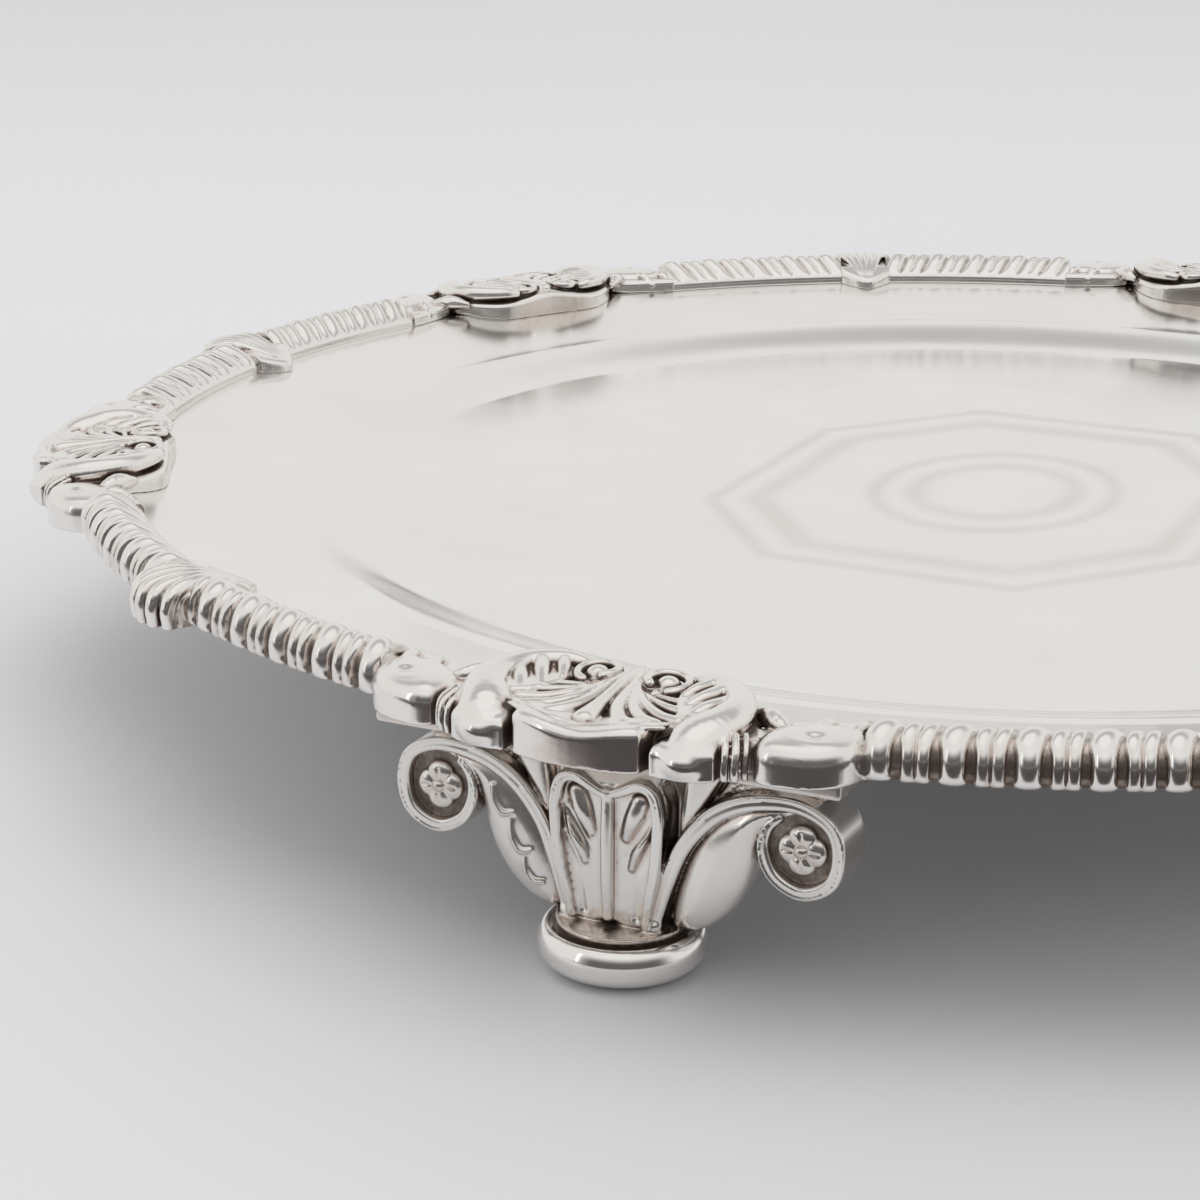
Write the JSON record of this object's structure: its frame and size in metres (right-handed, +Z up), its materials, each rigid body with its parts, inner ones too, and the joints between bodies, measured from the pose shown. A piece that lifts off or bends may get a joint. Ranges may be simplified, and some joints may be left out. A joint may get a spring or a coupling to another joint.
{
  "type": "salver",
  "caption": "Round silver salver with a flat well, a gadroon border with shell and fan mounts, and cast scroll feet with rosettes on bun pads.",
  "frame": {"origin": "on the table, under the centre of the well", "axes": "+Z up, first foot and a large shell towards -Y"},
  "size_m": [0.2584, 0.2616, 0.033],
  "materials": {
    "plate": "bright polished silver sheet, hand-polished, with faint swirl marks and soft wear",
    "border": "polished cast silver with dark patina in the grooves",
    "mounts": "polished cast silver, worn bright on the high points, dark patina in the recesses",
    "foot": "cast silver, soft polish, brown-grey patina in the hollows",
    "bun": "bright polished silver, scuffed where it stands"
  },
  "bodies": {
    "root": {"plate": "plate", "gadroon_run_1": "border", "gadroon_run_2": "border", "gadroon_run_3": "border", "gadroon_run_4": "border", "gadroon_run_5": "border", "gadroon_run_6": "border", "gadroon_run_7": "border", "gadroon_run_8": "border", "gadroon_run_9": "border", "gadroon_run_10": "border", "gadroon_run_11": "border", "gadroon_run_12": "border", "large_shell_1": "mounts", "large_shell_2": "mounts", "large_shell_3": "mounts", "large_shell_4": "mounts", "large_shell_5": "mounts", "large_shell_6": "mounts", "small_fan_1": "mounts", "small_fan_2": "mounts", "small_fan_3": "mounts", "small_fan_4": "mounts", "small_fan_5": "mounts", "small_fan_6": "mounts", "foot_1_flange": "foot", "foot_2_flange": "foot", "foot_3_flange": "foot", "foot_1_bracket": "foot", "foot_2_bracket": "foot", "foot_3_bracket": "foot", "foot_1_bun": "bun", "foot_2_bun": "bun", "foot_3_bun": "bun", "foot_1_rosette_left": "foot", "foot_2_rosette_left": "foot", "foot_3_rosette_left": "foot", "foot_1_rosette_right": "foot", "foot_2_rosette_right": "foot", "foot_3_rosette_right": "foot"}
  },
  "joints": []
}
